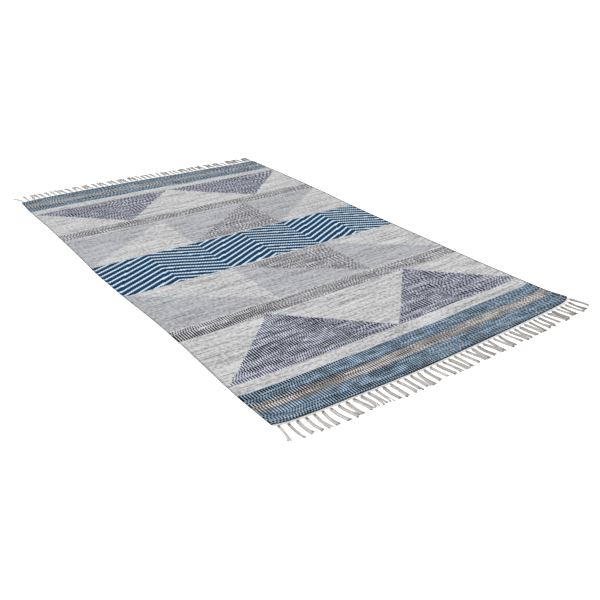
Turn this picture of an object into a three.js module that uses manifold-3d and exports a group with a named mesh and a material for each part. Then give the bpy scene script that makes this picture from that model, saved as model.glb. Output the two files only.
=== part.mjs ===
// A flat-woven kilim rug, about 1.5 by 2.4 m, lying flat on a floor.
// The cloth is one sheet, ribbed along its length where the weft wraps each warp, and its
// outline is as uneven as hand weaving leaves it: bowed ends, a slight waist, flared corners.
// Past each end the warps run through a narrow web of twined cotton, are gathered into knots
// and hang free as tassels, which lie on the floor.
// Millimetres, +Z up, the rug's length along Y. The origin is the middle of the footprint,
// on the floor.

import * as THREE from "three";
import { mergeVertices } from "three/addons/utils/BufferGeometryUtils.js";
import Module from "manifold-3d";

// The cloth
const HALF_WIDTH = 750;
const HALF_LENGTH = 1215;
const CLOTH_THICKNESS = 5;
const WARP_PITCH = 5.2;
const RIB_HEIGHT = 0.8;

// The twined web at each end, and the gap that parts it from the cloth
const WEB_WIDTH = 7;
const WEB_THICKNESS = 4;
const WEB_INSET = 3;
const PART_GAP = 0.3;

// The tassels of one end. Leans are sideways travel for each millimetre of length.
const TASSEL_COUNT = 49;
const FIRST_TASSEL_INSET = 12;
const GATHER_WIDTH = 22;
const KNOT_REACH = 9.5;
const KNOT_REACH_SPREAD = 1.5;
const KNOT_LENGTH = 12;
const KNOT_WIDTH = 11;
const KNOT_HEIGHT = 8;
const KNOT_LIFT = 0.5;
const NECK_WIDTH = 9;
const LOCK_WIDTH = 6.4;
const LOCK_HEIGHT = 4;
const LOCK_LENGTH_SPREAD = 5;
const LOCK_STATIONS = 3;
const FORK = 1.6;
const FORK_SPREAD = 0.9;
const BEND_SPREAD = 2.4;
const LEAN_SPREAD = 0.08;
const CORNER_LEAN = 0.2;

// How finely the edges are drawn, and how far solids reach past where they are cut or joined
const CURVE_POINTS = 36;
const SLAB_MARGIN = 30;
const OVERLAP = 0.5;

// How far each edge lies outside the nominal rectangle, at places along it
const LEFT_SIDE = [
  { along: -1185, out: -5 },
  { along: -987, out: 2 },
  { along: -787, out: -1 },
  { along: -587, out: -5 },
  { along: -387, out: -2 },
  { along: -187, out: 7 },
  { along: 13, out: 12 },
  { along: 113, out: 14 },
  { along: 313, out: 9 },
  { along: 513, out: 5 },
  { along: 813, out: 2 },
  { along: 1013, out: 5 },
  { along: 1209, out: -2 },
];
const RIGHT_SIDE = [
  { along: -1189, out: 7 },
  { along: -1107, out: -12 },
  { along: -987, out: -17 },
  { along: -737, out: -21 },
  { along: -487, out: -18 },
  { along: -237, out: -15 },
  { along: 13, out: -12 },
  { along: 213, out: -6 },
  { along: 413, out: 5 },
  { along: 613, out: 11 },
  { along: 813, out: 14 },
  { along: 1013, out: 14 },
  { along: 1209, out: 12 },
];
const NEAR_END = [
  { along: -745, out: -30 },
  { along: -695, out: -15 },
  { along: -595, out: -6 },
  { along: -395, out: 4 },
  { along: -195, out: 12 },
  { along: 5, out: 13 },
  { along: 305, out: 10 },
  { along: 605, out: 3 },
  { along: 705, out: -4 },
  { along: 757, out: -26 },
];
const FAR_END = [
  { along: -748, out: -6 },
  { along: -635, out: 6 },
  { along: -495, out: 12 },
  { along: -195, out: 11 },
  { along: 5, out: 8 },
  { along: 205, out: -2 },
  { along: 405, out: -4 },
  { along: 605, out: -10 },
  { along: 762, out: -6 },
];

// Each end: its edge table, which way it faces, and how long its locks are and how they lean
const ENDS = [
  { name: "fringe_near", table: NEAR_END, facing: -1, lockLength: 70, lean: 0.06, seed: 1 },
  { name: "fringe_far", table: FAR_END, facing: 1, lockLength: 75, lean: -0.04, seed: 2 },
];

const wasm = await Module();
wasm.setup();

// A closed three.js geometry as a solid that can be cut and joined.
function solidOf(geometry) {
  const bare = geometry.clone();
  bare.deleteAttribute("normal");
  bare.deleteAttribute("uv");
  const merged = mergeVertices(bare, 1e-4);
  const mesh = new wasm.Mesh({
    numProp: 3,
    vertProperties: merged.attributes.position.array,
    triVerts: new Uint32Array(merged.index.array),
  });
  return new wasm.Manifold(mesh);
}

// A solid as a three.js geometry.
function geometryOf(solid) {
  const mesh = solid.getMesh();
  const geometry = new THREE.BufferGeometry();
  geometry.setAttribute("position", new THREE.BufferAttribute(mesh.vertProperties, 3));
  geometry.setIndex(new THREE.BufferAttribute(mesh.triVerts, 1));
  geometry.computeVertexNormals();
  return geometry;
}

// A plan outline as a flat solid between two heights.
function plate(outline, bottom, top) {
  const shape = new THREE.Shape(outline);
  const geometry = new THREE.ExtrudeGeometry(shape, { depth: top - bottom, bevelEnabled: false });
  return solidOf(geometry.translate(0, 0, bottom));
}

// A smooth edge through a table's rows, as points of (along, out).
function edgeCurve(table) {
  const places = table.map((row) => new THREE.Vector2(row.along, row.out));
  return new THREE.SplineCurve(places).getPoints(CURVE_POINTS);
}

// The edge's out value at one place along it.
function outAt(curve, along) {
  const next = Math.max(1, curve.findIndex((point) => point.x >= along));
  const [a, b] = [curve[next - 1], curve[next]];
  return THREE.MathUtils.mapLinear(along, a.x, b.x, a.y, b.y);
}

// A steady, uneven number from -1 to 1 for one trait of one tassel.
function uneven(seed, index, trait) {
  const wave = Math.sin(seed * 37.7 + index * 12.9898 + trait * 78.233) * 43758.5453;
  return 2 * (wave - Math.floor(wave)) - 1;
}

// The cloth's plan outline, walked from the near left corner round the sides and ends.
function clothOutline() {
  const left = edgeCurve(LEFT_SIDE).map((p) => new THREE.Vector2(-HALF_WIDTH - p.y, p.x));
  const far = edgeCurve(FAR_END).map((p) => new THREE.Vector2(p.x, HALF_LENGTH + p.y));
  const right = edgeCurve(RIGHT_SIDE).map((p) => new THREE.Vector2(HALF_WIDTH + p.y, p.x));
  const near = edgeCurve(NEAR_END).map((p) => new THREE.Vector2(p.x, -HALF_LENGTH - p.y));
  const walk = [...near.slice(0, -1), ...right.slice(0, -1)];
  return [...walk, ...far.reverse().slice(0, -1), ...left.reverse().slice(0, -1)];
}

// A slab whose top is ribbed along Y, one rib for each warp, larger than the cloth.
function ribbedSlab() {
  const ribs = 2 * Math.ceil((HALF_WIDTH + SLAB_MARGIN) / WARP_PITCH);
  const reach = (ribs / 2) * WARP_PITCH;
  const length = 2 * (HALF_LENGTH + SLAB_MARGIN);
  const section = [new THREE.Vector2(reach + WARP_PITCH / 2, 0)];
  for (let rib = ribs; rib >= 0; rib--) {
    const ridge = -reach + rib * WARP_PITCH;
    section.push(new THREE.Vector2(ridge + WARP_PITCH / 2, CLOTH_THICKNESS - RIB_HEIGHT));
    section.push(new THREE.Vector2(ridge, CLOTH_THICKNESS));
  }
  section.push(new THREE.Vector2(-reach - WARP_PITCH / 2, CLOTH_THICKNESS - RIB_HEIGHT));
  section.push(new THREE.Vector2(-reach - WARP_PITCH / 2, 0));
  const shape = new THREE.Shape(section);
  const geometry = new THREE.ExtrudeGeometry(shape, { depth: length, bevelEnabled: false });
  return solidOf(geometry.translate(0, 0, -length / 2).rotateX(Math.PI / 2));
}

// The cloth: the ribbed slab cut to the outline.
function cloth() {
  return ribbedSlab().intersect(plate(clothOutline(), -OVERLAP, CLOTH_THICKNESS + OVERLAP));
}

// The web: a narrow strip that follows one end of the cloth, a hair away from it.
function web(end, curve) {
  const inner = [];
  const outer = [];
  for (const point of curve) {
    const along = THREE.MathUtils.clamp(point.x, curve[0].x + WEB_INSET, curve.at(-1).x - WEB_INSET);
    const out = HALF_LENGTH + outAt(curve, along) + PART_GAP;
    inner.push(new THREE.Vector2(along, end.facing * out));
    outer.push(new THREE.Vector2(along, end.facing * (out + WEB_WIDTH)));
  }
  return plate([...inner, ...outer.reverse()], 0, WEB_THICKNESS);
}

// One long edge of a lock, from just past the knot to the cut end.
function lockEdge(root, end, shape, side, edge) {
  const length = end.lockLength + LOCK_LENGTH_SPREAD * shape.extra[side < 0 ? 0 : 1];
  const points = [];
  for (let station = 1; station <= LOCK_STATIONS; station++) {
    const t = station / LOCK_STATIONS;
    const sway = shape.lean * length * t + shape.bend * Math.sin(Math.PI * t);
    const apart = side * THREE.MathUtils.lerp(NECK_WIDTH / 4, LOCK_WIDTH / 2 + shape.fork, t);
    const half = THREE.MathUtils.lerp(NECK_WIDTH / 4, LOCK_WIDTH / 2, t);
    points.push(new THREE.Vector2(root.x + sway + apart + edge * half, root.y + end.facing * length * t));
  }
  return points;
}

// One tassel's plan: gathered from the web to its neck, then two locks that part.
function tasselPlan(root, start, end, shape) {
  return [
    new THREE.Vector2(root.x - GATHER_WIDTH / 2, start),
    new THREE.Vector2(root.x - NECK_WIDTH / 2, root.y),
    ...lockEdge(root, end, shape, -1, -1),
    ...lockEdge(root, end, shape, -1, 1).reverse(),
    new THREE.Vector2(root.x, root.y + (end.facing * KNOT_LENGTH) / 2),
    ...lockEdge(root, end, shape, 1, -1),
    ...lockEdge(root, end, shape, 1, 1).reverse(),
    new THREE.Vector2(root.x + NECK_WIDTH / 2, root.y),
    new THREE.Vector2(root.x + GATHER_WIDTH / 2, start),
  ];
}

// One tassel: the warps gathered from the web, their knot, and the two locks.
function tassel(end, index, place, webOut, corner) {
  const trait = (number) => uneven(end.seed, index, number);
  const shape = {
    lean: end.lean + LEAN_SPREAD * trait(1) + CORNER_LEAN * corner,
    bend: BEND_SPREAD * trait(2),
    fork: FORK + FORK_SPREAD * trait(3),
    extra: [trait(4), trait(5)],
  };
  const knotOut = webOut + KNOT_REACH + KNOT_REACH_SPREAD * trait(6);
  const root = new THREE.Vector2(place, end.facing * knotOut);
  const knot = new THREE.OctahedronGeometry(1);
  knot.scale(KNOT_WIDTH / 2, KNOT_LENGTH / 2, KNOT_HEIGHT / 2);
  knot.translate(root.x, root.y, KNOT_HEIGHT / 2 + KNOT_LIFT);
  const plan = tasselPlan(root, end.facing * (webOut - OVERLAP), end, shape);
  return [plate(plan, 0, LOCK_HEIGHT), solidOf(knot)];
}

// One end's fringe: the web with its row of tassels, as one solid.
function fringe(end) {
  const curve = edgeCurve(end.table);
  const first = curve[0].x + FIRST_TASSEL_INSET;
  const last = curve.at(-1).x - FIRST_TASSEL_INSET;
  const solids = [web(end, curve)];
  for (let index = 0; index < TASSEL_COUNT; index++) {
    const place = THREE.MathUtils.mapLinear(index, 0, TASSEL_COUNT - 1, first, last);
    const webOut = HALF_LENGTH + outAt(curve, place) + PART_GAP + WEB_WIDTH;
    const corner = Number(index === TASSEL_COUNT - 1) - Number(index === 0);
    solids.push(...tassel(end, index, place, webOut, corner));
  }
  return wasm.Manifold.union(solids);
}

function wovenWool() {
  return new THREE.MeshStandardMaterial({ color: 0xa9adb3, roughness: 0.95, metalness: 0 });
}

function warpCotton() {
  return new THREE.MeshStandardMaterial({ color: 0xcfcac2, roughness: 0.95, metalness: 0 });
}

function namedMesh(name, solid, material) {
  const mesh = new THREE.Mesh(geometryOf(solid), material);
  mesh.name = name;
  return mesh;
}

const rug = new THREE.Group();
rug.name = "kilim_rug";
rug.add(namedMesh("cloth", cloth(), wovenWool()));
for (const end of ENDS) {
  rug.add(namedMesh(end.name, fringe(end), warpCotton()));
}

// The origin is the middle of the footprint.
const footprint = new THREE.Box3().setFromObject(rug);
const middle = footprint.getCenter(new THREE.Vector3());
rug.position.set(-middle.x, -middle.y, 0);

export default rug;
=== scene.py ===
"""The looks of a flat-woven kilim rug: its ribbed cloth, its end webs and its knotted tassels.

Sizes are in metres, and +Y runs along the rug's length. The cloth's plan comes from its CAD solid,
so the woven sheet lies where that solid does.
"""

import math

import bpy
import numpy as np
from bpy.props import FloatProperty, FloatVectorProperty, IntProperty, PointerProperty
from mathutils import Matrix, Vector


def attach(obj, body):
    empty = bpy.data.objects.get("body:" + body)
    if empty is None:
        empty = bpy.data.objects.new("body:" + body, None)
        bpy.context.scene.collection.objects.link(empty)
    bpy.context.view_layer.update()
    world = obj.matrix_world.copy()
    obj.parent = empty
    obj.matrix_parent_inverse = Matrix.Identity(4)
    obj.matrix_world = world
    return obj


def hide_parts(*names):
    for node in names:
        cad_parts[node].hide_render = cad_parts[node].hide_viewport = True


bl_info = {
    "name": "Kilim rug",
    "version": (1, 0, 0),
    "blender": (4, 5, 0),
    "location": "3D View > Sidebar > Kilim",
    "description": "Weaves a flat kilim rug, knots its warps into tassels and lights it",
    "category": "Object",
}

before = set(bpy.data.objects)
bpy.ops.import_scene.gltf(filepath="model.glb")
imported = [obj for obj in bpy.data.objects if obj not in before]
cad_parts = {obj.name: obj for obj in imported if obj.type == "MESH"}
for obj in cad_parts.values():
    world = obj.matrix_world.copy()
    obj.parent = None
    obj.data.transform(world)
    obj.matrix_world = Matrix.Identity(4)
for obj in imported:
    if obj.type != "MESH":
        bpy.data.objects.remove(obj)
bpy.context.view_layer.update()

MM = 0.001
MATH = "ShaderNodeMath"
ENDS = {"near": -1, "far": 1}


def linear(hex_colour):
    """An sRGB hex colour as linear red, green, blue and alpha."""
    channels = [int(hex_colour[i : i + 2], 16) / 255 for i in (1, 3, 5)]
    return tuple(c / 12.92 if c <= 0.04045 else ((c + 0.055) / 1.055) ** 2.4 for c in channels) + (1.0,)


def size(name, description, default):
    """A length that the user can change."""
    return FloatProperty(name=name, description=description, default=default, unit="LENGTH", precision=4)


def share(name, description, default):
    """A plain number that the user can change."""
    return FloatProperty(name=name, description=description, default=default, precision=3)


def angle(name, description, degrees):
    """An angle that the user can change, given in degrees."""
    default = math.radians(degrees)
    return FloatProperty(name=name, description=description, default=default, subtype="ANGLE")


def point(name, description, default):
    """A place in the scene that the user can change."""
    return FloatVectorProperty(
        name=name, description=description, default=default, subtype="TRANSLATION", unit="LENGTH"
    )


def yarn_colour(name, description, default):
    """A yarn's colour that the user can change, given as sRGB hex."""
    return FloatVectorProperty(
        name=name, description=description, default=linear(default), size=4, subtype="COLOR", min=0, max=1
    )


class ClothSizes(bpy.types.PropertyGroup):
    """Sizes of the woven sheet."""

    width: size("Width", "Cloth's width on the loom", 1.5)
    length: size("Length", "Cloth's length on the loom", 2.43)
    thickness: size("Thickness", "Height of a rib's crest", 5 * MM)
    ribs: IntProperty(name="Ribs", description="Warps across the cloth, each under one rib", default=288)
    rib_height: size("Rib height", "How far the weft rises over a warp", 0.8 * MM)
    pick_pitch: size("Pick pitch", "Length of a weft pick, drawn a little coarser than real", 2.6 * MM)
    rows: IntProperty(name="Rows", description="Steps of the surface along the length", default=116)
    swell: size("Swell", "How unevenly the weft is beaten up", 0.35 * MM)


class DesignSizes(bpy.types.PropertyGroup):
    """Where the woven bands end, as distances from the rug's middle, and how large their motifs are."""

    chevrons_end: size("Chevrons end", "Half the height of the striped band in the middle", 0.17)
    blocks_end: size("Blocks end", "Outer edge of the row of parted blocks", 0.54)
    taupe_end: size("Taupe end", "Outer edge of the taupe band", 0.62)
    peaks_end: size("Peaks end", "Outer edge of the row of triangles", 0.97)
    ivory_end: size("Ivory end", "Outer edge of the ivory band", 1.03)
    slub_start: size("Slub start", "Inner edge of the brown slub stripe", 1.095)
    slub_end: size("Slub end", "Outer edge of the brown slub stripe", 1.14)
    line: size("Line", "Width of the thin ivory lines between bands", 11 * MM)
    peak: size("Peak", "Width of one triangle", 0.75)
    block: size("Block", "Width of one parted block", 0.5)
    zigzag: size("Zigzag", "Width of one chevron", 0.5)
    zigzag_rise: size("Zigzag rise", "Height of one chevron", 0.12)
    stripe_pitch: size("Stripe pitch", "One dark and one white stripe, along the length", 37 * MM)
    dark_share: share("Dark share", "How much of a stripe pair is dark", 0.71)
    step_across: size("Step across", "Warps in one step of a slanted edge", 10.4 * MM)
    step_along: size("Step along", "Picks in one step of a slanted edge", 5.2 * MM)
    waver: size("Waver", "How far a woven line wanders", 2.5 * MM)


class YarnColours(bpy.types.PropertyGroup):
    """Colours of the dyed yarns."""

    petrol: yarn_colour("Petrol", "Light pick of the petrol blue bands", "#9ab1c4")
    petrol_deep: yarn_colour("Deep petrol", "Dark pick of the petrol blue bands", "#0a1826")
    indigo: yarn_colour("Indigo melange", "Light pick of the indigo melange", "#c8cbde")
    indigo_deep: yarn_colour("Deep indigo", "Dark pick of the indigo melange", "#13141f")
    navy: yarn_colour("Navy", "Dark stripes of the chevrons", "#003a62")
    white: yarn_colour("White", "White stripes of the chevrons", "#e2f6ff")
    ivory: yarn_colour("Ivory", "Undyed ivory wool", "#cfcecf")
    cool: yarn_colour("Cool grey", "Cool grey wool", "#b8babf")
    taupe: yarn_colour("Taupe", "Light pick of the grey melange", "#cfced2")
    taupe_deep: yarn_colour("Deep taupe", "Dark pick of the grey melange", "#302f33")
    slub: yarn_colour("Beige slub", "Light pick of the brown slub stripe", "#c4c1bf")
    slub_deep: yarn_colour("Brown slub", "Dark pick of the brown slub stripe", "#241d19")
    cotton: yarn_colour("Cotton", "Undyed cotton warp in the tassels", "#d3cfcc")
    cotton_clean: yarn_colour("Clean cotton", "Cotton of the webs, which nobody handles", "#fbfbfa")
    # Darkest cotton tone: painted shade at the cut ends, in the near knots and along the tassels to the
    # right, and the darkest of the soil mottling.
    cotton_soiled_and_shaded: yarn_colour("Soiled cotton", "Cotton at the cut ends and deep in the knots", "#6b655f")


class FringeSizes(bpy.types.PropertyGroup):
    """Sizes of the end webs and tassels."""

    gap: size("Gap", "Between the cloth's edge and the web", 0.3 * MM)
    web_width: size("Web width", "Width of the twined web", 7 * MM)
    twist_pitch: size("Twist pitch", "One turn of a twined cord", 10.4 * MM)
    tassels: IntProperty(name="Tassels", description="Tassels at each end", default=49)
    inset: size("Inset", "From the cloth's corner to the first tassel", 12 * MM)
    reach: size("Reach", "From the web to a knot's middle", 9.5 * MM)
    reach_spread: size("Reach spread", "How much the reach varies", 1.5 * MM)
    knot_length: size("Knot length", "Length of a knot along the warps", 12 * MM)
    lock_near: size("Near length", "From a knot of the near end to its cut end", 70 * MM)
    lock_far: size("Far length", "From a knot of the far end to its cut end", 75 * MM)
    lock_spread: size("Length spread", "How unevenly the tassels are cut", 5 * MM)
    lean_near: share("Near lean", "Sideways travel of the near tassels, for their length", 0.15)
    lean_far: share("Far lean", "Sideways travel of the far tassels, for their length", -0.04)
    lean_spread: share("Lean spread", "How much the lean varies", 0.14)
    corner_lean: share("Corner lean", "How far the outermost tassels point outwards", 0.2)
    fan_near: size("Near fan", "Half the width of a near tassel's yarns", 6.0 * MM)
    fan_far: size("Far fan", "Half the width of a far tassel's yarns", 8.0 * MM)
    bend_spread: size("Bend", "How far a tassel bows sideways", 4.5 * MM)
    fork: size("Fork", "How far a tassel's halves part", 0.4 * MM)
    fork_spread: size("Fork spread", "How much the fork varies", 4.0 * MM)


class StageSettings(bpy.types.PropertyGroup):
    """Camera, light and floor."""

    place: point("Camera", "Where the camera stands", (-1.69804, -2.55804, 1.29307))
    azimuth: angle("Azimuth", "Compass direction of the view, from +Y to +X", 37.4207)
    elevation: angle("Elevation", "How far the view looks down", 27.3946)
    roll: angle("Roll", "Turn of the picture about the line of sight", 1.32817)
    lens: FloatProperty(
        name="Lens", description="Focal length on a 36 mm sensor", default=41.27, unit="CAMERA"
    )
    sky: share("Sky", "Strength of the white surround", 0.52)
    lamp: share("Lamp", "Strength of the broad light from the upper left", 2.15)
    lamp_place: point("Lamp from", "Where the broad light comes from", (-2.2, 1.4, 3.2))
    lamp_size: angle("Lamp size", "How broad the light is", 35)
    glow: share("Glow", "Light that the floor gives off, which keeps shadows faint", 0.65)
    floor_half: size("Floor", "Half the floor's side", 40)


def add_node(tree, kind, inputs=None, **settings):
    """Adds a shader node, with its settings, and its inputs as values or links."""
    made = tree.nodes.new(kind)
    for name, value in settings.items():
        setattr(made, name, value)
    for key, value in (inputs or {}).items():
        if isinstance(value, bpy.types.NodeSocket):
            tree.links.new(value, made.inputs[key])
        else:
            made.inputs[key].default_value = value
    return made


class Surface:
    """Points, faces, face-corner UVs and point attributes of one piece, gathered part by part."""

    def __init__(self):
        self.points = []
        self.faces = []
        self.uvs = []
        self.attributes = {}
        self.count = 0

    def add(self, points, faces, uvs, **attributes):
        """Adds one part: faces is a list of index arrays and uvs the matching corner arrays."""
        self.points.append(points)
        self.faces += [indices + self.count for indices in faces]
        self.uvs += uvs
        for name, values in attributes.items():
            self.attributes.setdefault(name, []).append(np.broadcast_to(values, len(points)))
        self.count += len(points)

    def make(self, name, uv_name, material, flat_faces=0):
        """The piece as an object. Its last flat_faces faces are shaded flat, the rest smooth."""
        mesh = bpy.data.meshes.new(name)
        corners = np.concatenate([indices.ravel() for indices in self.faces])
        sides = np.concatenate([np.full(len(indices), indices.shape[1]) for indices in self.faces])
        mesh.vertices.add(self.count)
        mesh.vertices.foreach_set("co", np.concatenate(self.points).ravel())
        mesh.loops.add(len(corners))
        mesh.loops.foreach_set("vertex_index", corners.astype(np.int32))
        mesh.polygons.add(len(sides))
        starts = np.concatenate([[0], np.cumsum(sides)[:-1]])
        mesh.polygons.foreach_set("loop_start", starts.astype(np.int32))
        smooth = np.arange(len(sides)) < len(sides) - flat_faces
        mesh.polygons.foreach_set("use_smooth", smooth)
        layer = mesh.uv_layers.new(name=uv_name)
        layer.uv.foreach_set("vector", np.concatenate([uv.reshape(-1, 2) for uv in self.uvs]).ravel())
        for label, values in self.attributes.items():
            held = mesh.attributes.new(label, "FLOAT", "POINT")
            held.data.foreach_set("value", np.concatenate(values).astype(np.float32))
        mesh.update(calc_edges=True)
        if mesh.validate():
            raise RuntimeError(f"{name} has broken faces")
        mesh.materials.append(material)
        piece = bpy.data.objects.new(name, mesh)
        bpy.context.scene.collection.objects.link(piece)
        return piece


def ring_faces(rings, sides):
    """Faces of a tube of rings, each a loop of sides points, with corner places as (side, ring)."""
    ring, side = np.meshgrid(np.arange(rings - 1), np.arange(sides), indexing="ij")
    corner_ring = np.stack([ring, ring + 1, ring + 1, ring], -1).reshape(-1, 4)
    corner_side = np.stack([side, side, side + 1, side + 1], -1).reshape(-1, 4)
    return corner_ring * sides + corner_side % sides, np.stack([corner_side, corner_ring], -1)


def tubes(surface, paths, widths, heights, sides, reference=(0, 0, 1), **attributes):
    """Adds closed tubes along many paths at once.

    A ring is its path point + width cos(a) across + height sin(a) up, where across is the path's
    direction crossed with the reference, and up is across crossed with that direction.
    """
    count, rings = paths.shape[:2]
    ahead = np.gradient(paths, axis=1)
    across = np.cross(ahead, reference)
    across /= np.linalg.norm(across, axis=-1, keepdims=True)
    up = np.cross(across, ahead)
    up /= np.linalg.norm(up, axis=-1, keepdims=True)
    turn = 2 * np.pi * np.arange(sides) / sides
    sideways = np.broadcast_to(widths, (count, rings))[..., None] * np.cos(turn)
    upwards = np.broadcast_to(heights, (count, rings))[..., None] * np.sin(turn)
    points = paths[:, :, None] + across[:, :, None] * sideways[..., None]
    points = points + up[:, :, None] * upwards[..., None]
    run = np.cumsum(np.linalg.norm(np.diff(paths, axis=1, prepend=paths[:, :1]), axis=-1), axis=1)
    faces, places = ring_faces(rings, sides)
    offsets = np.arange(count)[:, None, None] * rings * sides
    around = np.broadcast_to(places[..., 0] / sides, (count, *places.shape[:2]))
    uv = np.stack([around, run[:, places[..., 1]]], -1)
    caps = np.stack([np.arange(sides), (rings - 1) * sides + np.arange(sides)[::-1]])
    cap_uv = np.zeros((count, 2, sides, 2))
    cap_uv[:, 1, :, 1] = run[:, -1:]
    spread = {k: np.repeat(np.broadcast_to(v, (count, rings)), sides) for k, v in attributes.items()}
    surface.add(
        points.reshape(-1, 3),
        [(faces + offsets).reshape(-1, 4), (caps + offsets).reshape(-1, sides)],
        [uv.reshape(-1, 4, 2), cap_uv.reshape(-1, sides, 2)],
        **spread,
    )


def uneven(seed, index, trait):
    """A steady, uneven number from -1 to 1 for one trait of one thing: what is left of a large sine."""
    wave = np.sin(seed * 37.7 + index * 12.9898 + trait * 78.233) * 43758.5453
    return 2 * (wave - np.floor(wave)) - 1


def cloth_edges():
    """The cloth's four edges in plan, as points sorted along each, from its CAD solid's underside.

    A point belongs to the edge whose two corners its bearing from the middle lies between.
    """
    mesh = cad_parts["cloth"].data
    points = np.empty(len(mesh.vertices) * 3)
    mesh.vertices.foreach_get("co", points)
    points = points.reshape(-1, 3)
    rim = np.unique(points[points[:, 2] < 0.1 * MM, :2].round(6), axis=0)
    bearing = np.arctan2(rim[:, 1], rim[:, 0])
    corners = [np.argmax(rim @ way) for way in ((-1, -1), (1, -1), (1, 1), (-1, 1))]
    near_left, near_right, far_right, far_left = bearing[corners]
    edges = {
        "near": rim[(bearing >= near_left) & (bearing <= near_right)],
        "right": rim[(bearing >= near_right) & (bearing <= far_right)],
        "far": rim[(bearing >= far_right) & (bearing <= far_left)],
        "left": rim[(bearing >= far_left) | (bearing <= near_left)],
    }
    sort_axis = {"near": 0, "far": 0, "left": 1, "right": 1}
    return {name: points[np.argsort(points[:, sort_axis[name]])] for name, points in edges.items()}


EDGES = cloth_edges()


def end_edge(end, x):
    """The y of the cloth's near or far edge at x."""
    return np.interp(x, EDGES[end][:, 0], EDGES[end][:, 1])


def on_cloth(across, along):
    """Plan places for loom shares across and along, from 0 to 1.

    A place lies between the four corners by its two shares. To this it adds how far each edge strays
    from the straight line between its own corners, fading with the distance from that edge.
    """
    across, along = np.broadcast_arrays(across, along)
    a, b = across[..., None], along[..., None]
    near, far = EDGES["near"][[0, -1]], EDGES["far"][[0, -1]]
    plan = (near[0] * (1 - a) + near[1] * a) * (1 - b) + (far[0] * (1 - a) + far[1] * a) * b
    side_fade, end_fade = 3, 8
    near_stray, far_stray = stray("near", across), stray("far", across)
    left_stray, right_stray = stray("left", along), stray("right", along)
    plan[..., 1] += near_stray * (1 - along) ** end_fade + far_stray * along**end_fade
    plan[..., 0] += left_stray * (1 - across) ** side_fade + right_stray * across**side_fade
    return plan


def stray(name, share_along):
    """How far an edge lies off the straight line between its ends, at a share of its length."""
    axis = 0 if name in ENDS else 1
    edge = EDGES[name]
    shares = (edge[:, axis] - edge[0, axis]) / (edge[-1, axis] - edge[0, axis])
    straight = edge[0, 1 - axis] + shares * (edge[-1, 1 - axis] - edge[0, 1 - axis])
    return np.interp(share_along, shares, edge[:, 1 - axis] - straight)


def swell(plan):
    """A smooth unevenness from -1 to 1 over the plan: three crossed sine waves, 9 to 16 cm long."""
    x, y = plan[..., 0], plan[..., 1]
    waves = np.sin(21 * x + 33 * y + 1.3) + np.sin(52 * x - 24 * y + 4.1) + np.sin(13 * x + 68 * y)
    return waves / 3


def cloth_surface(sizes):
    """The ribbed sheet as one closed surface of cross-sections carried along the rug.

    A section runs over the top, with two columns to a rib, round one selvedge, under and up the other.
    The top's height is the thickness, less the rib height in the valleys, plus the swell, and the
    first and last sections are lower, which rounds the ends off.
    """
    columns = 2 * sizes.ribs
    top = np.arange(columns + 1) / columns
    bottom = np.linspace(1, 0, 9)
    selvedge_out = np.array([0.5, 0.55, 0.3]) * MM
    selvedge_up = np.array([0.72, 0.4, 0.12]) * sizes.thickness
    across = np.concatenate([top, np.ones(3), bottom, np.zeros(3)])[::-1]
    outward = np.concatenate([0 * top, selvedge_out, 0 * bottom, -selvedge_out[::-1]])[::-1]
    end_slope, end_height = 0.0015, 0.72
    along = np.linspace(0, 1, sizes.rows)
    along = np.concatenate([[0], [end_slope], along[1:-1], [1 - end_slope], [1]])
    plan = on_cloth(across[None], along[:, None])
    plan[..., 0] += outward
    on_crest = np.arange(columns + 1) % 2 == 1
    crest = np.where(on_crest, sizes.thickness, sizes.thickness - sizes.rib_height)
    height = np.concatenate([crest, selvedge_up, 0 * bottom, selvedge_up[::-1]])
    height = np.repeat(height[::-1][None], len(along), 0)
    on_top = np.arange(len(across))[::-1] < len(top)
    height += on_top * sizes.swell * swell(plan)
    height[[0, -1]] *= end_height
    points = np.concatenate([plan, height[..., None]], -1)
    faces, places = ring_faces(len(along), len(across))
    loom_u = (across - 0.5) * sizes.width + outward
    loom_v = (along - 0.5) * sizes.length
    loom = np.stack(np.broadcast_arrays(loom_u[None], loom_v[:, None]), -1)
    side, ring = places[..., 0] % len(across), places[..., 1]
    first_ring = np.arange(len(across))
    last_ring = (len(along) - 1) * len(across) + first_ring[::-1]
    ends = np.stack([first_ring, last_ring])
    surface = Surface()
    surface.add(points.reshape(-1, 3), [faces, ends], [loom[ring, side], loom.reshape(-1, 2)[ends]])
    return surface


def toned(tree, value, tones):
    """A yarn's colour from its unevenness: dark at 0, plain in the middle and light at 1."""
    dark, plain, light = tones
    ramp = add_node(tree, "ShaderNodeValToRGB", {"Fac": value})
    stops = ramp.color_ramp.elements
    stops[0].color = dark
    stops[1].color = light
    stops.new(0.5).color = plain
    return ramp.outputs["Color"]


def shaded(colour, factor):
    """A colour made darker or lighter by a factor."""
    return tuple(min(1.0, channel * factor) for channel in colour[:3]) + (1.0,)


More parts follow.
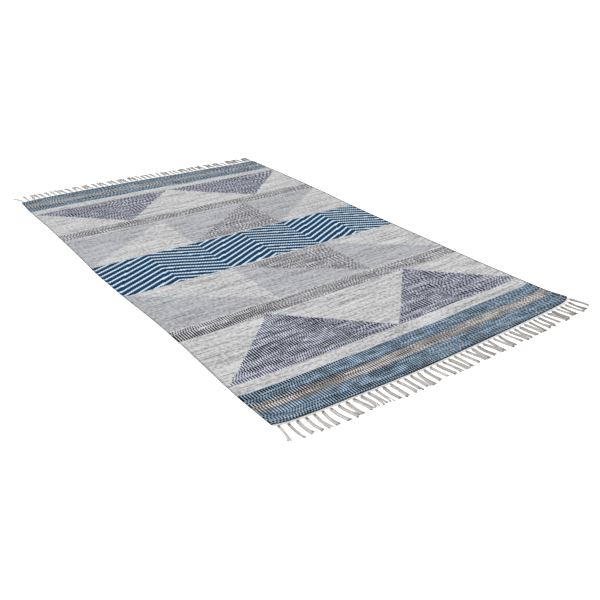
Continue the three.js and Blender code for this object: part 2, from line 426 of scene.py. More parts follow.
def loom_nodes(tree, cloth):
    """The weave's own patterns, from the loom coordinates.

    Odd warps lie where sin(pi u / warp pitch) is above 0. The weaver now and then puts in two picks of
    one colour, which shows as a thin pale seam, and past it the pair of yarns change places. Towards
    the far right come lots of yarn with less contrast, which change places at nearly every row. Their
    colour columns are drawn 1.5, 2 and 2.5 times as wide as real, since real ones are too fine to see.
    """
    loom = add_node(tree, "ShaderNodeUVMap", uv_map="loom").outputs["UV"]
    split = add_node(tree, "ShaderNodeSeparateXYZ", {"Vector": loom})
    u, v = split.outputs["X"], split.outputs["Y"]
    weave = {"loom": loom, "u": u, "v": v}
    column_crispness, odd_bias, seam_crispness = 2.5, 1.4, 40.0
    lot_slant, lot_blend, lot_contrast, lot_depth = 0.42, 0.12, 0.31, 0.06

    def warp_wave(warps):
        turn_rate = math.pi * cloth.ribs / cloth.width / warps
        turn = add_node(tree, MATH, {0: u, 1: turn_rate}, operation="MULTIPLY").outputs[0]
        return add_node(tree, MATH, {0: turn}, operation="SINE").outputs[0]

    def odd(wave):
        return add_node(
            tree,
            MATH,
            {0: wave, 1: column_crispness, 2: odd_bias},
            operation="MULTIPLY_ADD",
            use_clamp=True,
        ).outputs[0]

    def changing(odd_warp, double_pick):
        doubled = add_node(tree, MATH, {0: double_pick, 1: 0.5}, operation="GREATER_THAN").outputs[0]
        apart = add_node(tree, MATH, {0: odd_warp, 1: doubled}, operation="SUBTRACT").outputs[0]
        return add_node(tree, MATH, {0: apart}, operation="ABSOLUTE").outputs[0]

    weave["warp_wave"] = warp_wave(1)
    weave["odd_warp"] = odd(weave["warp_wave"])
    double_pick = weft_noise(tree, weave, 520 * MM, 36 * MM, 11.7)
    from_seam = add_node(tree, MATH, {0: double_pick, 1: 0.5}, operation="SUBTRACT").outputs[0]
    seam_reach = add_node(tree, MATH, {0: from_seam}, operation="ABSOLUTE").outputs[0]
    off_seam = add_node(
        tree, MATH, {0: seam_reach, 1: seam_crispness}, operation="MULTIPLY", use_clamp=True
    ).outputs[0]
    changed = changing(weave["odd_warp"], double_pick)
    deep_warp = add_node(tree, MATH, {0: changed, 1: off_seam}, operation="MULTIPLY").outputs[0]
    uneven_pick = weft_noise(tree, weave, 150 * MM, 15 * MM, 29.3, 1.0)
    toward_far_right = add_node(
        tree, MATH, {0: v, 1: lot_slant, 2: u}, operation="MULTIPLY_ADD"
    ).outputs[0]
    for coarser, start in ((1.5, -0.65), (2.0, -0.1), (2.5, 0.75)):
        taken_over = add_node(
            tree,
            "ShaderNodeMapRange",
            {0: toward_far_right, 1: start, 2: start + lot_blend, 3: 0.0, 4: 1.0},
        ).outputs[0]
        softened = add_node(
            tree,
            MATH,
            {0: changing(odd(warp_wave(coarser)), uneven_pick), 1: lot_contrast, 2: lot_depth},
            operation="MULTIPLY_ADD",
        ).outputs[0]
        deep_warp = add_node(
            tree, "ShaderNodeMix", {0: taken_over, 2: deep_warp, 3: softened}, data_type="FLOAT"
        ).outputs[0]
    weave["deep_warp"] = deep_warp
    pick = add_node(tree, MATH, {0: v, 1: cloth.pick_pitch}, operation="SNAP").outputs[0]
    weave["by_pick"] = add_node(tree, "ShaderNodeCombineXYZ", {"X": u, "Y": pick}).outputs["Vector"]
    return weave


def weft_noise(tree, weave, length, height, seed, detail=2.0, source="loom"):
    """Noise drawn out along the weft: length across the rug and height along it, about 0.5."""
    stretched = add_node(
        tree,
        "ShaderNodeMapping",
        {"Vector": weave[source], "Location": (seed, seed * 1.7, 0), "Scale": (1 / length, 1 / height, 1)},
    )
    noise = add_node(
        tree,
        "ShaderNodeTexNoise",
        {"Vector": stretched.outputs["Vector"], "Scale": 1.0, "Detail": detail, "Roughness": 0.6},
        noise_dimensions="2D",
    )
    return noise.outputs["Fac"]


def mixed_noise(tree, noises, gains, middle=0.5):
    """The middle value, plus each noise's distance from 0.5 times its gain."""
    total = middle - 0.5 * sum(gains.values())
    for name, gain in gains.items():
        total = add_node(
            tree, MATH, {0: noises[name], 1: gain, 2: total}, operation="MULTIPLY_ADD"
        ).outputs[0]
    return total


def woven(tree, where, other, yarn):
    """One yarn where the mask is 1, and the other where it is 0."""
    return add_node(tree, "ShaderNodeMix", {0: where, 6: other, 7: yarn}, data_type="RGBA").outputs[2]


def yarns(tree, weave, colours):
    """The colour of each yarn, or pair of yarns, at every place, before the design chooses among them.

    A pair lies light on even warps and deep on odd ones, and the deep one pales where its spinning
    mixed in more light wool, which breaks its lines into dashes.
    """
    noises = {
        "lot": weft_noise(tree, weave, 900 * MM, 40 * MM, 3.1, 1.0),
        "row": weft_noise(tree, weave, 300 * MM, 18 * MM, 17.3),
        "slub": weft_noise(tree, weave, 200 * MM, 7 * MM, 7.7),
        "mottle": weft_noise(tree, weave, 46 * MM, 20 * MM, 23.1, 3.0),
        "fleck": weft_noise(tree, weave, 14 * MM, 13 * MM, 5.9, 3.0),
        "pick": weft_noise(tree, weave, 60 * MM, 0.37 * MM, 2.3, 1.0, "by_pick"),
    }

    def tones(colour, dark, light):
        return shaded(colour, dark), tuple(colour), shaded(colour, light)

    def single(gains, colour, dark, light):
        return toned(tree, mixed_noise(tree, noises, gains), tones(colour, dark, light))

    def pair(light, deep, paling, middle, speckles):
        speckled = mixed_noise(tree, noises, speckles)
        pale = toned(tree, speckled, tones(light, 0.5, 1.5))
        dark = toned(tree, speckled, tones(deep, 0.3, 3.0))
        strength = mixed_noise(tree, noises, paling, middle)
        where = add_node(
            tree,
            MATH,
            {0: weave["deep_warp"], 1: strength},
            operation="MULTIPLY",
            use_clamp=True,
        ).outputs[0]
        return woven(tree, where, pale, dark)

    flecked = {"slub": 1.5, "mottle": 2.5, "pick": 0.4}
    strands = {"row": 2.5, "slub": 4.0, "mottle": 2.0}
    streaked = {"lot": 0.5, "row": 0.4, "slub": 1.9, "fleck": 1.9, "pick": 0.4}
    plain = {"row": 0.5, "fleck": 1.0, "pick": 0.8}
    petrol = {"row": 2.5, "mottle": 2.5}
    indigo = {"row": 4.0, "mottle": 2.5}
    taupe = {"row": 3.0, "mottle": 4.0}
    brown = {"slub": 10.0, "mottle": 2.0}
    return {
        "petrol": pair(colours.petrol, colours.petrol_deep, petrol, 2.2, flecked),
        "indigo": pair(colours.indigo, colours.indigo_deep, indigo, 2.5, flecked),
        "taupe": pair(colours.taupe, colours.taupe_deep, taupe, 2.1, flecked),
        "ivory": single(streaked, colours.ivory, 0.5, 1.25),
        "cool": single(streaked, colours.cool, 0.5, 1.25),
        "slub": pair(colours.slub, colours.slub_deep, brown, 1.8, strands),
        "navy": single(plain, colours.navy, 0.5, 1.8),
        "white": single(plain, colours.white, 0.8, 1.1),
    }


def design(tree, weave, sizes, yarn):
    """The woven design: bands mirrored about the rug's middle, with slanted edges in woven steps."""
    waves_per_metre = (4.5, 1.2, 1)
    waver = add_node(
        tree, "ShaderNodeMapping", {"Vector": weave["loom"], "Scale": waves_per_metre}
    ).outputs["Vector"]
    wander = add_node(
        tree, "ShaderNodeTexNoise", {"Vector": waver, "Scale": 1.0, "Detail": 1.0}, noise_dimensions="2D"
    ).outputs["Fac"]
    shift = 4 * sizes.waver
    moved = add_node(
        tree, MATH, {0: wander, 1: shift, 2: weave["v"]}, operation="MULTIPLY_ADD"
    ).outputs[0]
    v = add_node(tree, MATH, {0: moved, 1: shift / 2}, operation="SUBTRACT").outputs[0]
    from_middle = add_node(tree, MATH, {0: v}, operation="ABSOLUTE").outputs[0]
    u_step = add_node(tree, MATH, {0: weave["u"], 1: sizes.step_across}, operation="SNAP").outputs[0]
    v_step = add_node(tree, MATH, {0: v, 1: sizes.step_along}, operation="SNAP").outputs[0]
    step_from_middle = add_node(tree, MATH, {0: v_step}, operation="ABSOLUTE").outputs[0]

    def below(value, limit):
        return add_node(tree, MATH, {0: value, 1: limit}, operation="LESS_THAN").outputs[0]

    def rise(start, end):
        return add_node(
            tree, "ShaderNodeMapRange", {0: step_from_middle, 1: start, 2: end, 3: 0.0, 4: 1.0}, clamp=False
        ).outputs[0]

    def folded(offset, width):
        moved_over = add_node(tree, MATH, {0: u_step, 1: offset}, operation="ADD").outputs[0]
        fold = add_node(tree, MATH, {0: moved_over, 1: width / 2}, operation="PINGPONG").outputs[0]
        return add_node(tree, MATH, {0: fold, 1: width / 2}, operation="DIVIDE").outputs[0]

    peak_shape = below(folded(sizes.peak / 2, sizes.peak), rise(sizes.taupe_end, sizes.peaks_end))
    peaks = woven(tree, peak_shape, yarn["ivory"], yarn["indigo"])

    # Three blocks lie across the rug. Counted from 0, the middle one runs from 1 to 2.
    block_at = add_node(
        tree, MATH, {0: u_step, 1: 1 / sizes.block, 2: 1.5}, operation="MULTIPLY_ADD"
    ).outputs[0]
    in_block = add_node(tree, MATH, {0: block_at}, operation="FRACT").outputs[0]
    middle_block = add_node(tree, MATH, {0: block_at, 1: 1.5, 2: 0.5}, operation="COMPARE").outputs[0]
    block_inner = woven(tree, middle_block, yarn["ivory"], yarn["taupe"])
    block_split = below(in_block, rise(sizes.chevrons_end, sizes.blocks_end))
    blocks = woven(tree, block_split, block_inner, yarn["cool"])

    zigzag = add_node(
        tree,
        MATH,
        {0: folded(0.0, sizes.zigzag), 1: sizes.zigzag_rise, 2: v_step},
        operation="MULTIPLY_ADD",
    ).outputs[0]
    stripe_at = add_node(tree, MATH, {0: zigzag, 1: sizes.stripe_pitch}, operation="DIVIDE").outputs[0]
    in_stripe = add_node(tree, MATH, {0: stripe_at}, operation="FRACT").outputs[0]
    chevrons = woven(tree, below(in_stripe, sizes.dark_share), yarn["white"], yarn["navy"])

    colour = yarn["petrol"]
    bands = (
        (sizes.slub_end, yarn["slub"]),
        (sizes.slub_start, yarn["petrol"]),
        (sizes.ivory_end, yarn["ivory"]),
        (sizes.peaks_end, peaks),
        (sizes.taupe_end, yarn["taupe"]),
        (sizes.blocks_end, yarn["ivory"]),
        (sizes.blocks_end - sizes.line, blocks),
        (sizes.chevrons_end + sizes.line, yarn["ivory"]),
        (sizes.chevrons_end, chevrons),
    )
    for limit, band in bands:
        colour = woven(tree, below(from_middle, limit), colour, band)
    return colour


def rim_shade(tree, weave, cloth):
    """A factor of painted shade that darkens the cloth's rims, where the weft turns back and the surface
    rolls away, most of all at the right rim, which is turned away from the lamp.
    """
    factor = 1.0
    # Coordinate, rim, how far from it the shade starts and is full, signed, and the darkest factor
    rims = (
        (weave["u"], cloth.width / 2, 11 * MM, 6 * MM, 0.2),
        (weave["u"], -cloth.width / 2, -7 * MM, -2 * MM, 0.6),
        (weave["v"], cloth.length / 2, 16 * MM, 8 * MM, 0.3),
        (weave["v"], -cloth.length / 2, -5 * MM, -3 * MM, 0.25),
    )
    for place, rim, start, full, darkest in rims:
        painted_shade = add_node(
            tree, "ShaderNodeMapRange", {0: place, 1: rim - start, 2: rim - full, 3: 1.0, 4: darkest}
        ).outputs[0]
        factor = add_node(tree, MATH, {0: painted_shade, 1: factor}, operation="MULTIPLY").outputs[0]
    return factor


def empty_material(name):
    """A material with no nodes yet, and its tree."""
    material = bpy.data.materials.new(name)
    material.use_nodes = True
    material.node_tree.nodes.clear()
    return material, material.node_tree


def yarn_finish(tree, colour, relief, depth, strength, roughness, gloss, sheen):
    """Ends a yarn's tree: its relief as bump, under a matt shader with a faint sheen from its fibres."""
    bump = add_node(tree, "ShaderNodeBump", {"Height": relief, "Distance": depth, "Strength": strength})
    shader = add_node(
        tree,
        "ShaderNodeBsdfPrincipled",
        {
            "Base Color": colour,
            "Roughness": roughness,
            "Specular IOR Level": gloss,
            "Sheen Weight": sheen,
            "Sheen Roughness": 0.5,
            "Normal": bump.outputs["Normal"],
        },
    )
    add_node(tree, "ShaderNodeOutputMaterial", {"Surface": shader.outputs["BSDF"]})


def wool_flatweave(cloth, sizes, colours):
    """Hand-spun wool weft, beaten down over cotton warps: matt, ribbed along the rug and streaked
    across it where the yarn's thickness and dye vary, with a faint sheen from its fibres. Painted shade
    is multiplied into its colour in the valleys between the ribs and along the rims."""
    material, tree = empty_material("wool_flatweave")
    weave = loom_nodes(tree, cloth)
    yarn = yarns(tree, weave, colours)
    colour = design(tree, weave, sizes, yarn)
    pick_relief, valley_width, valley_shade = 0.3, 0.6, 0.55
    pick_turn = add_node(
        tree, MATH, {0: weave["v"], 1: 2 * math.pi / cloth.pick_pitch}, operation="MULTIPLY"
    ).outputs[0]
    staggered = add_node(
        tree, MATH, {0: weave["odd_warp"], 1: math.pi, 2: pick_turn}, operation="MULTIPLY_ADD"
    ).outputs[0]
    pick_wave = add_node(tree, MATH, {0: staggered}, operation="SINE").outputs[0]
    over_warp = add_node(tree, MATH, {0: weave["warp_wave"]}, operation="ABSOLUTE").outputs[0]
    relief = add_node(
        tree, MATH, {0: pick_wave, 1: pick_relief, 2: over_warp}, operation="MULTIPLY_ADD"
    ).outputs[0]
    # Painted shade in the rib valleys, darkest midway between two warps.
    painted_valley_shade = add_node(
        tree, "ShaderNodeMapRange", {0: over_warp, 1: 0.0, 2: valley_width, 3: valley_shade, 4: 1.0}
    ).outputs[0]
    painted_shade = add_node(
        tree, MATH, {0: painted_valley_shade, 1: rim_shade(tree, weave, cloth)}, operation="MULTIPLY"
    ).outputs[0]
    # The yarn colour with the painted shade of the valleys and the rims multiplied in.
    colour_with_painted_shade = add_node(
        tree, "ShaderNodeMix", {0: 1.0, 6: colour, 7: painted_shade}, data_type="RGBA", blend_type="MULTIPLY"
    ).outputs[2]
    yarn_finish(tree, colour_with_painted_shade, relief, 0.5 * MM, 0.6, roughness=0.95, gloss=0.08, sheen=0.04)
    return material


def undyed_cotton(colours):
    """Plied undyed cotton: matt off-white, with a slanting twist, each yarn a little different, and
    with painted shade at the cut ends, in the near knots and along the tassels towards the right."""
    material, tree = empty_material("undyed_cotton")
    strand = add_node(tree, "ShaderNodeUVMap", uv_map="strand").outputs["UV"]
    split = add_node(tree, "ShaderNodeSeparateXYZ", {"Vector": strand})
    plies, ply_length, soil_patch = 3.0, 5 * MM, 14 * MM
    soil_gain, lot_gain, ply_gain = 0.35, 0.13, 0.08
    along = add_node(
        tree, MATH, {0: split.outputs["Y"], 1: 1 / ply_length}, operation="MULTIPLY"
    ).outputs[0]
    turns = add_node(
        tree, MATH, {0: split.outputs["X"], 1: plies, 2: along}, operation="MULTIPLY_ADD"
    ).outputs[0]
    angle = add_node(tree, MATH, {0: turns, 1: 2 * math.pi}, operation="MULTIPLY").outputs[0]
    ply = add_node(tree, MATH, {0: angle}, operation="SINE").outputs[0]
    place = add_node(tree, "ShaderNodeTexCoord").outputs["Object"]
    soil = add_node(
        tree, "ShaderNodeTexNoise", {"Vector": place, "Scale": 1 / soil_patch, "Detail": 3.0}
    ).outputs["Fac"]
    lot = add_node(tree, "ShaderNodeAttribute", attribute_name="lot").outputs["Fac"]
    # Each point's tone with painted shade: light in the webs, dark in the near knots and at the cut ends,
    # and darker along the tassels towards the right.
    clean = add_node(tree, "ShaderNodeAttribute", attribute_name="clean").outputs["Fac"]
    # Each source is added with its gain. The soil's noise is taken about its middle.
    value = -soil_gain / 2
    for source, gain in ((soil, soil_gain), (lot, lot_gain), (ply, ply_gain), (clean, 1.0)):
        value = add_node(
            tree, MATH, {0: source, 1: gain, 2: value}, operation="MULTIPLY_ADD"
        ).outputs[0]
    colour = toned(
        tree, value, (tuple(colours.cotton_soiled_and_shaded), tuple(colours.cotton), tuple(colours.cotton_clean))
    )
    yarn_finish(tree, colour, ply, 0.3 * MM, 0.7, roughness=0.9, gloss=0.2, sheen=0.15)
    return material


def cotton():
    """The cotton's material, made once."""
    return bpy.data.materials.get("undyed_cotton") or undyed_cotton(bpy.context.scene.kilim_colours)


def web_surface(sizes, end):
    """One end web: two twined cords over a thin bed, all following the cloth's edge.

    A cord's strand is a helix about a line beside the edge: out by cos(turn) and up by sin(turn).
    """
    facing = ENDS[end]
    inset = 3 * MM
    left, right = EDGES[end][0, 0] + inset, EDGES[end][-1, 0] - inset
    surface = Surface()
    steps_per_turn = 7
    x = np.linspace(left, right, int((right - left) / sizes.twist_pitch * steps_per_turn))
    edge = end_edge(end, x) + facing * sizes.gap
    coil, strand_radius, cord_height = 0.85 * MM, 1.15 * MM, 2.2 * MM
    strands = []
    for out, phase in ((2.0 * MM, 1.8), (5.2 * MM, 4.68)):
        for half_turn in (0, np.pi):
            turn = 2 * np.pi * x / sizes.twist_pitch + half_turn + phase
            y = edge + facing * (out + coil * np.cos(turn))
            strands.append(np.stack([x, y, cord_height + coil * np.sin(turn)], -1))
    lots = uneven(3, np.arange(len(strands)), 1)[:, None]
    tubes(surface, np.array(strands), strand_radius, strand_radius, 5, lot=0.3 * lots, clean=0.9)
    bed_height, bed_half_height = 0.9 * MM, 0.8 * MM
    x = np.linspace(left, right, 60)
    y = end_edge(end, x) + facing * (sizes.gap + sizes.web_width / 2)
    bed = np.stack([x, y, np.full_like(x, bed_height)], -1)[None]
    tubes(surface, bed, sizes.web_width / 2, bed_half_height, 8, lot=0, clean=0.8)
    return surface


def ease(t):
    """A smooth start and stop between 0 and 1."""
    return t * t * (3 - 2 * t)


def tassel_surface(sizes, end):
    """One end's tassels: warps drawn together into knots, and yarns fanning out to a cut end."""
    facing = ENDS[end]
    seed = 1 if end == "near" else 2
    lock_length = sizes.lock_near if end == "near" else sizes.lock_far
    base_lean = sizes.lean_near if end == "near" else sizes.lean_far
    index = np.arange(sizes.tassels)

    def trait(number):
        return uneven(seed, index, number)

    place = np.linspace(EDGES[end][0, 0] + sizes.inset, EDGES[end][-1, 0] - sizes.inset, sizes.tassels)
    web_out = sizes.gap + sizes.web_width
    root = end_edge(end, place) + facing * (web_out + sizes.reach + sizes.reach_spread * trait(6))
    corner = (index == sizes.tassels - 1).astype(float) - (index == 0)
    lean = base_lean + sizes.lean_spread * trait(1) + sizes.corner_lean * corner
    surface = Surface()
    gather(surface, sizes, end, place, root)
    knots(surface, sizes, facing, place, root, seed)
    locks(surface, sizes, facing, seed, place, root, lean, lock_length)
    return surface


def gather(surface, sizes, end, place, root):
    """Warps from the web to the knots: each eases sideways and up from its own place to its knot."""
    warps, pitch_at_web, pitch_at_knot = 6, 4.0 * MM, 1.1 * MM
    lap_in_web, lap_in_knot = 1.2 * MM, 2.5 * MM
    height_at_web, climb = 1.3 * MM, 2.2 * MM
    facing = ENDS[end]
    t = np.linspace(0, 1, 6)
    rank = np.arange(warps) - (warps - 1) / 2
    start_x = place[:, None] + rank * pitch_at_web
    start_y = end_edge(end, start_x) + facing * (sizes.gap + sizes.web_width - lap_in_web)
    end_x = place[:, None] + rank * pitch_at_knot
    end_y = root[:, None] - facing * lap_in_knot
    x = start_x[..., None] + (end_x - start_x)[..., None] * ease(t)
    y = start_y[..., None] + (end_y - start_y)[..., None] * t
    z = height_at_web + climb * ease(t) + 0 * x
    paths = np.stack([x, y, z], -1).reshape(-1, len(t), 3)
    lots = uneven(5, np.arange(len(paths)), 1)[:, None]
    # The warps are light at the web and a little darker towards the knot.
    tubes(surface, paths, 1.15 * MM, 1.1 * MM, 6, lot=0.5 * lots, clean=0.9 - 0.3 * t**3)


def knots(surface, sizes, facing, place, root, seed):
    """Overhand knots: a core that swells and closes, and a wrap that turns about it.

    The core's radius follows a half circle. The wrap is a helix about the tassel's line: sideways by
    cos(turn), up by sin(turn) and on by its share. Near knots are painted dark as shade, less so
    towards the right, and far knots are light.
    """
    core_height, core_end, core_swell = 4.1 * MM, 1.2 * MM, 2.4 * MM
    s = np.linspace(-1, 1, 7)
    core_y = root[:, None] + facing * s * sizes.knot_length / 2
    core = np.stack([place[:, None] + 0 * core_y, core_y, core_height + 0 * core_y], -1)
    belly = core_end + core_swell * np.sqrt(1 - s**2)
    rightward = np.arange(len(place)) / len(place)
    # Painted shade: the near knots are dark, lightening towards the right. The far knots are light.
    clean = (0.35 * rightward - 0.05 if facing < 0 else 0.85 + 0 * rightward)[:, None]
    tubes(surface, core, belly, belly, 8, lot=0, clean=clean)
    wrap_turns, wrap_aside, wrap_up, wrap_height = 1.7, 3.4 * MM, 2.4 * MM, core_height + 0.2 * MM
    t = np.linspace(0, 1, 16)
    wrap_length, wrap_stray, wrap_radius = 4.6 * MM, 1 * MM, 1.85 * MM
    tilt = uneven(seed, np.arange(len(place)), 8)[:, None]
    turn = 2 * np.pi * (wrap_turns * t - 0.1 + 0.2 * tilt)
    x = place[:, None] + wrap_aside * np.cos(turn)
    y = root[:, None] + facing * (t - 0.5) * (wrap_length + wrap_stray * tilt)
    z = wrap_height + wrap_up * np.sin(turn)
    wrap = np.stack([x, y, z], -1)
    thickness = wrap_radius * (0.6 + 0.4 * np.sin(np.pi * t))
    tubes(surface, wrap, thickness, thickness, 6, (0, 1, 0), lot=0, clean=clean + 0.1)


def locks(surface, sizes, facing, seed, place, root, lean, lock_length):
    """Yarns below each knot, in two layers, which sink from the knot's height to the floor.

    A yarn's place sideways is the sum of the tassel's lean, which grows with its length, its bow, a
    half sine, its fan and its fork, which part the yarns towards the cut end, and a small wave.
    """
    length_stray, place_stray = 2.5 * MM, 0.12
    fan_growth, fan_growth_spread, fan_spread = 0.5 * MM, 1.2 * MM, 0.35
    loose_share, loose_reach, wave_height = 0.05, 4 * MM, 0.5 * MM
    neck_heights, laid_heights = np.array([2.6, 5.2]) * MM, np.array([1.25, 3.0]) * MM
    sink_rate, laid_stray = 2.2, 0.25 * MM
    radius, radius_spread, cut_taper = 1.25 * MM, 0.12 * MM, 0.3
    # Painted shade in the tassels: at the cut ends, below the near knots, towards the right and over the
    # far end.
    tip_shade_share, tip_shade_depth, root_share, root_depth = 0.08, 0.65, 0.12, 0.2
    painted_tone_at_left, painted_shade_to_right = 0.48 if facing < 0 else 0.38, 0.27
    count = len(place)
    lower, upper = np.linspace(-1, 1, 6), np.linspace(-0.8, 0.8, 5)
    rank = np.concatenate([lower, upper])
    layer = np.repeat([0, 1], [len(lower), len(upper)])
    index = np.arange(count)
    t = np.linspace(0, 1, 12)
    yarn = (index[:, None] * len(rank) + np.arange(len(rank)))[..., None]

    def trait(number):
        return uneven(seed, index, number)[:, None, None]

    def wild(number):
        return uneven(seed + 10, yarn, number)

    side = np.where(rank > 0, 1, -1)[None, :, None]
    extra = np.where(side < 0, trait(4), trait(5))
    length = lock_length + sizes.lock_spread * extra + length_stray * wild(1)
    spot = rank[None, :, None] + place_stray * wild(2)
    fan_start = sizes.fan_near if facing < 0 else sizes.fan_far
    fan_half = fan_start + (fan_growth + fan_growth_spread * trait(7)) * t
    fan = spot * fan_half * (1 + fan_spread * trait(9))
    fork = side * np.maximum(0, sizes.fork + sizes.fork_spread * trait(3)) * t**3
    bow = sizes.bend_spread * trait(2) * np.sin(np.pi * t)
    loose_end = (wild(8) > 1 - 2 * loose_share) * side * loose_reach * t**4
    wave = wave_height * np.sin(2 * np.pi * (t * (1.2 + 0.5 * wild(3)) + wild(4))) * t
    x = place[:, None, None] + lean[:, None, None] * length * t + bow + fan + fork + loose_end + wave
    y = root[:, None, None] + facing * (1 * MM + length * t)
    neck = neck_heights[layer][None, :, None]
    laid = laid_heights[layer][None, :, None] + laid_stray * layer[None, :, None] * wild(5)
    z = neck + (laid - neck) * ease(np.minimum(1, t * sink_rate))
    paths = np.stack([x, y, z], -1).reshape(-1, len(t), 3)
    thickness = (radius + radius_spread * wild(6) + 0 * t) * (1 - cut_taper * (t == 1))
    thickness = thickness.reshape(-1, len(t))
    # Painted shade at the cut ends of most yarns.
    at_tip = np.clip((t - 1 + tip_shade_share) / tip_shade_share, 0, 1)
    painted_tip_shade = tip_shade_depth * at_tip * (wild(9) > 0.1)
    # Painted shade along the tassels: darker towards the right, and darker at the far end than the near.
    # Darker below the near knots, lighter below the far ones.
    yarn_painted_shade = painted_tone_at_left - painted_shade_to_right * (index / count)[:, None, None]
    root_painted_shade = root_depth * facing * np.clip(1 - t / root_share, 0, 1)
    clean = (yarn_painted_shade + root_painted_shade - painted_tip_shade + 0 * x).reshape(-1, len(t))
    lots = wild(7).reshape(-1, 1)
    tubes(surface, paths, thickness, thickness, 6, lot=lots, clean=clean)


class KILIM_OT_weave_cloth(bpy.types.Operator):
    """Weaves the ribbed, banded sheet"""

    bl_idname = "kilim.weave_cloth"
    bl_label = "Weave the cloth"

    def execute(self, context):
        scene = context.scene
        material = wool_flatweave(scene.kilim_cloth, scene.kilim_design, scene.kilim_colours)
        cloth = cloth_surface(scene.kilim_cloth).make("kilim_cloth", "loom", material, 2)
        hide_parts("cloth")
        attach(cloth, "root")
        return {"FINISHED"}


class KILIM_OT_twine_webs(bpy.types.Operator):
    """Twines the narrow cotton web at each end"""

    bl_idname = "kilim.twine_webs"
    bl_label = "Twine the end webs"

    def execute(self, context):
        for end in ENDS:
            surface = web_surface(context.scene.kilim_fringe, end)
            web = surface.make(f"end_web_{end}", "strand", cotton())
            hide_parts(f"fringe_{end}")
            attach(web, "root")
        return {"FINISHED"}


class KILIM_OT_knot_tassels(bpy.types.Operator):
    bl_idname = "kilim.knot_tassels"
    bl_label = "Knot the tassels"

    def execute(self, context):
        for end in ENDS:
            surface = tassel_surface(context.scene.kilim_fringe, end)
            tassels = surface.make(f"tassels_{end}", "strand", cotton())
            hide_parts(f"fringe_{end}")
            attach(tassels, "root")
        return {"FINISHED"}


def matt_floor(glow):
    """A smooth matt studio floor: near white, and giving off light so that shadows stay faint."""
    material = bpy.data.materials.new("matt_floor")
    material.use_nodes = True
    shader = material.node_tree.nodes["Principled BSDF"]
    shader.inputs["Base Color"].default_value = linear("#e6e6e6")
    shader.inputs["Roughness"].default_value = 0.9
    shader.inputs["Specular IOR Level"].default_value = 0.0
    shader.inputs["Emission Color"].default_value = linear("#ffffff")
    shader.inputs["Emission Strength"].default_value = glow
    return material


class KILIM_OT_set_stage(bpy.types.Operator):
    """Sets the floor, the soft light and the camera"""

    bl_idname = "kilim.set_stage"
    bl_label = "Set the stage"

    def execute(self, context):
        scene = context.scene
        stage = scene.kilim_stage
        half = stage.floor_half
        corners = [(-half, -half, 0), (half, -half, 0), (half, half, 0), (-half, half, 0)]
        mesh = bpy.data.meshes.new("floor")
        mesh.from_pydata(corners, [], [(0, 1, 2, 3)])
        mesh.materials.append(matt_floor(stage.glow))
        floor = bpy.data.objects.new("floor", mesh)
        scene.collection.objects.link(floor)
        world = bpy.data.worlds.new("white_surround")
        world.use_nodes = True
        tree = world.node_tree
        background = tree.nodes["Background"]
        background.inputs["Color"].default_value = linear("#ffffff")
        # The backdrop is plain white to look at, and lights the rug with the weaker sky.
        seen = add_node(tree, "ShaderNodeLightPath").outputs["Is Camera Ray"]
        strength = add_node(tree, "ShaderNodeMapRange", {0: seen, 3: stage.sky, 4: 1.0}).outputs[0]
        tree.links.new(strength, background.inputs["Strength"])
        scene.world = world
        lamp = bpy.data.lights.new("broad_light", "SUN")
        lamp.angle = stage.lamp_size
        lamp.energy = stage.lamp
        broad_light = bpy.data.objects.new("broad_light", lamp)
        broad_light.location = stage.lamp_place
        broad_light.rotation_euler = (-broad_light.location).to_track_quat("-Z", "Y").to_euler()
        scene.collection.objects.link(broad_light)
        camera = bpy.data.objects.new("camera", bpy.data.cameras.new("camera"))
        camera.data.lens = stage.lens
        camera.matrix_world = camera_matrix(stage)
        scene.collection.objects.link(camera)
        scene.camera = camera
        scene.view_settings.view_transform = "Standard"
        return {"FINISHED"}


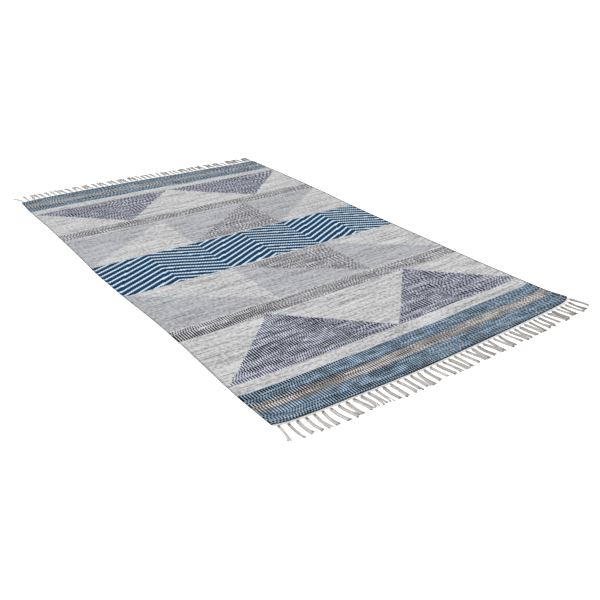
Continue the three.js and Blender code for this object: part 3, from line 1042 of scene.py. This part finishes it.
def camera_matrix(stage):
    """The camera's place and turn from its azimuth, elevation and roll."""
    az, el, roll = stage.azimuth, stage.elevation, stage.roll
    look = Vector((math.sin(az) * math.cos(el), math.cos(az) * math.cos(el), -math.sin(el)))
    level = Vector((math.cos(az), -math.sin(az), 0))
    upright = level.cross(look)
    right = math.cos(roll) * level + math.sin(roll) * upright
    up = math.cos(roll) * upright - math.sin(roll) * level
    turn = Matrix((right, up, -look)).transposed()
    return Matrix.Translation(stage.place) @ turn.to_4x4()


class KILIM_PT_panel(bpy.types.Panel):
    """Lists the rug's sizes and steps"""

    bl_idname = "KILIM_PT_panel"
    bl_label = "Kilim rug"
    bl_space_type = "VIEW_3D"
    bl_region_type = "UI"
    bl_category = "Kilim"

    def draw(self, context):
        for label, group, operators in STEPS:
            box = self.layout.box()
            box.label(text=label)
            settings = getattr(context.scene, group)
            for name in settings.__annotations__:
                box.prop(settings, name)
            for operator in operators:
                box.operator(operator)


STEPS = (
    ("Cloth", "kilim_cloth", ("kilim.weave_cloth",)),
    ("Design", "kilim_design", ()),
    ("Yarn", "kilim_colours", ()),
    ("Fringe", "kilim_fringe", ("kilim.twine_webs", "kilim.knot_tassels")),
    ("Stage", "kilim_stage", ("kilim.set_stage",)),
)
SETTINGS = {
    "kilim_cloth": ClothSizes,
    "kilim_design": DesignSizes,
    "kilim_colours": YarnColours,
    "kilim_fringe": FringeSizes,
    "kilim_stage": StageSettings,
}
CLASSES = (
    *SETTINGS.values(),
    KILIM_OT_weave_cloth,
    KILIM_OT_twine_webs,
    KILIM_OT_knot_tassels,
    KILIM_OT_set_stage,
    KILIM_PT_panel,
)


def register():
    """Registers the classes and hangs their settings on the scene."""
    for each in CLASSES:
        bpy.utils.register_class(each)
    for name, group in SETTINGS.items():
        setattr(bpy.types.Scene, name, PointerProperty(type=group))


def unregister():
    """Takes the settings off the scene and forgets the classes."""
    for name in SETTINGS:
        delattr(bpy.types.Scene, name)
    for each in reversed(CLASSES):
        bpy.utils.unregister_class(each)


def main():
    """Makes the rug and its stage."""
    register()
    bpy.ops.kilim.set_stage()
    bpy.ops.kilim.weave_cloth()
    bpy.ops.kilim.twine_webs()
    bpy.ops.kilim.knot_tassels()


if __name__ == "__main__":
    main()
